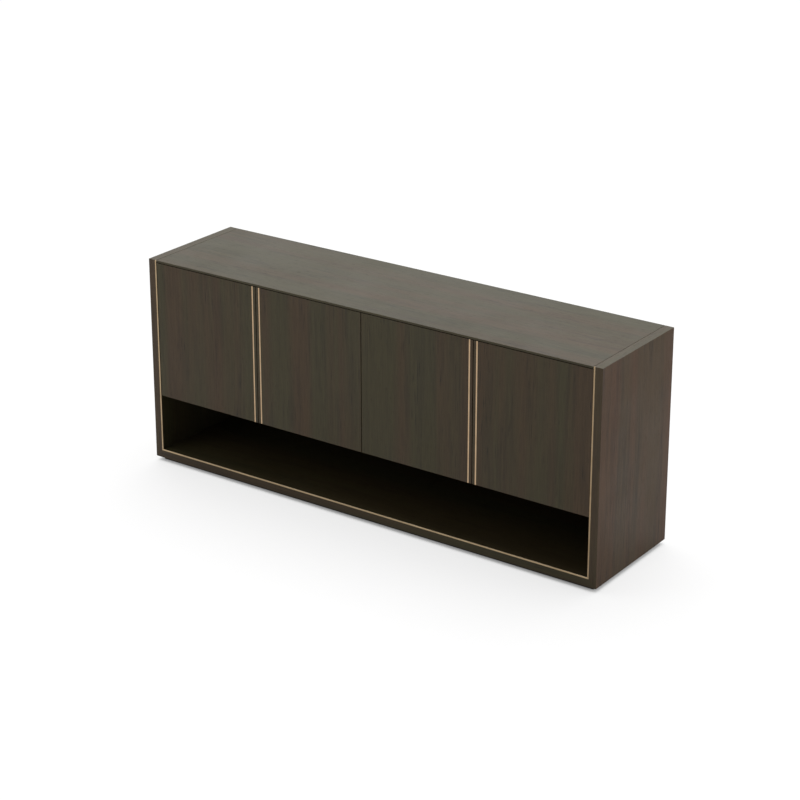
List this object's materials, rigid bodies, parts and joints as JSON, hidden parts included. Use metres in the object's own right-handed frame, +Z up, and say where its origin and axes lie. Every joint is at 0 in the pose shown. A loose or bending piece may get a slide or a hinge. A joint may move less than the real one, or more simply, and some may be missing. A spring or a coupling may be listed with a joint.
{
  "type": "office credenza",
  "caption": "Long low office credenza with flush handle-less doors above an open full-width niche, dark wood veneer, slim brass inlay strips and a recessed plinth.",
  "frame": {"origin": "on the floor, below the middle of the carcass", "axes": "+X to the right along the length, +Y to the back, +Z up; the doors face -Y"},
  "size_m": [1.8, 0.44, 0.75],
  "materials": {
    "veneer": "dark stained veneer, satin lacquer",
    "lining": "dark stained board, matt lacquer",
    "plinth": "black-brown painted board, matt",
    "brass": "brushed brass, satin",
    "steel": "nickel-plated steel",
    "plastic": "dark grey moulded plastic"
  },
  "bodies": {
    "carcass": {"left_side_panel": "veneer", "right_side_panel": "veneer", "bottom_panel": "veneer", "top_panel": "veneer", "deck_panel": "lining", "centre_partition": "lining", "back_panel": "lining", "plinth_front_rail": "plinth", "plinth_rear_rail": "plinth", "plinth_left_rail": "plinth", "plinth_right_rail": "plinth", "plinth_centre_rail": "plinth", "left_trim": "brass", "right_trim": "brass", "bottom_trim": "brass", "left_shelf": "lining", "left_shelf_front_outer_pin": "steel", "left_shelf_front_inner_pin": "steel", "left_shelf_rear_outer_pin": "steel", "left_shelf_rear_inner_pin": "steel", "right_shelf": "lining", "right_shelf_front_outer_pin": "steel", "right_shelf_front_inner_pin": "steel", "right_shelf_rear_outer_pin": "steel", "right_shelf_rear_inner_pin": "steel", "left_outer_door_lower_hinge_arm": "steel", "left_outer_door_upper_hinge_arm": "steel", "left_inner_door_lower_hinge_arm": "steel", "left_inner_door_upper_hinge_arm": "steel", "right_inner_door_lower_hinge_arm": "steel", "right_inner_door_upper_hinge_arm": "steel", "right_outer_door_lower_hinge_arm": "steel", "right_outer_door_upper_hinge_arm": "steel", "left_outer_latch_housing": "plastic", "left_inner_latch_housing": "plastic", "right_inner_latch_housing": "plastic", "right_outer_latch_housing": "plastic"},
    "left_outer_door": {"left_outer_door": "veneer", "left_outer_door_strip": "brass", "left_outer_door_lower_hinge_cup": "steel", "left_outer_door_upper_hinge_cup": "steel"},
    "left_inner_door": {"left_inner_door": "veneer", "left_inner_door_strip": "brass", "left_inner_door_lower_hinge_cup": "steel", "left_inner_door_upper_hinge_cup": "steel"},
    "right_inner_door": {"right_inner_door": "veneer", "right_inner_door_strip": "brass", "right_inner_door_lower_hinge_cup": "steel", "right_inner_door_upper_hinge_cup": "steel"},
    "right_outer_door": {"right_outer_door": "veneer", "right_outer_door_strip": "brass", "right_outer_door_lower_hinge_cup": "steel", "right_outer_door_upper_hinge_cup": "steel"},
    "left_outer_plunger": {"left_outer_latch_plunger": "plastic"},
    "left_inner_plunger": {"left_inner_latch_plunger": "plastic"},
    "right_inner_plunger": {"right_inner_latch_plunger": "plastic"},
    "right_outer_plunger": {"right_outer_latch_plunger": "plastic"}
  },
  "joints": [
    {"name": "left_outer_door_hinge", "type": "hinge", "parent": "carcass", "child": "left_outer_door", "pos_m": [-0.8478, -0.212, 0.496], "axis": [0, 0, -1], "range_deg": [0, 100]},
    {"name": "left_inner_door_hinge", "type": "hinge", "parent": "carcass", "child": "left_inner_door", "pos_m": [-0.0197, -0.212, 0.496], "axis": [0, 0, 1], "range_deg": [0, 90]},
    {"name": "right_inner_door_hinge", "type": "hinge", "parent": "carcass", "child": "right_inner_door", "pos_m": [0.0197, -0.212, 0.496], "axis": [0, 0, -1], "range_deg": [0, 90]},
    {"name": "right_outer_door_hinge", "type": "hinge", "parent": "carcass", "child": "right_outer_door", "pos_m": [0.8478, -0.212, 0.496], "axis": [0, 0, 1], "range_deg": [0, 100]},
    {"name": "left_outer_latch_press", "type": "slide", "parent": "carcass", "child": "left_outer_plunger", "axis": [0, 1, 0], "range_m": [0, 0.004], "stiffness_N_per_m": 300},
    {"name": "left_inner_latch_press", "type": "slide", "parent": "carcass", "child": "left_inner_plunger", "axis": [0, 1, 0], "range_m": [0, 0.004], "stiffness_N_per_m": 300},
    {"name": "right_inner_latch_press", "type": "slide", "parent": "carcass", "child": "right_inner_plunger", "axis": [0, 1, 0], "range_m": [0, 0.004], "stiffness_N_per_m": 300},
    {"name": "right_outer_latch_press", "type": "slide", "parent": "carcass", "child": "right_outer_plunger", "axis": [0, 1, 0], "range_m": [0, 0.004], "stiffness_N_per_m": 300}
  ]
}
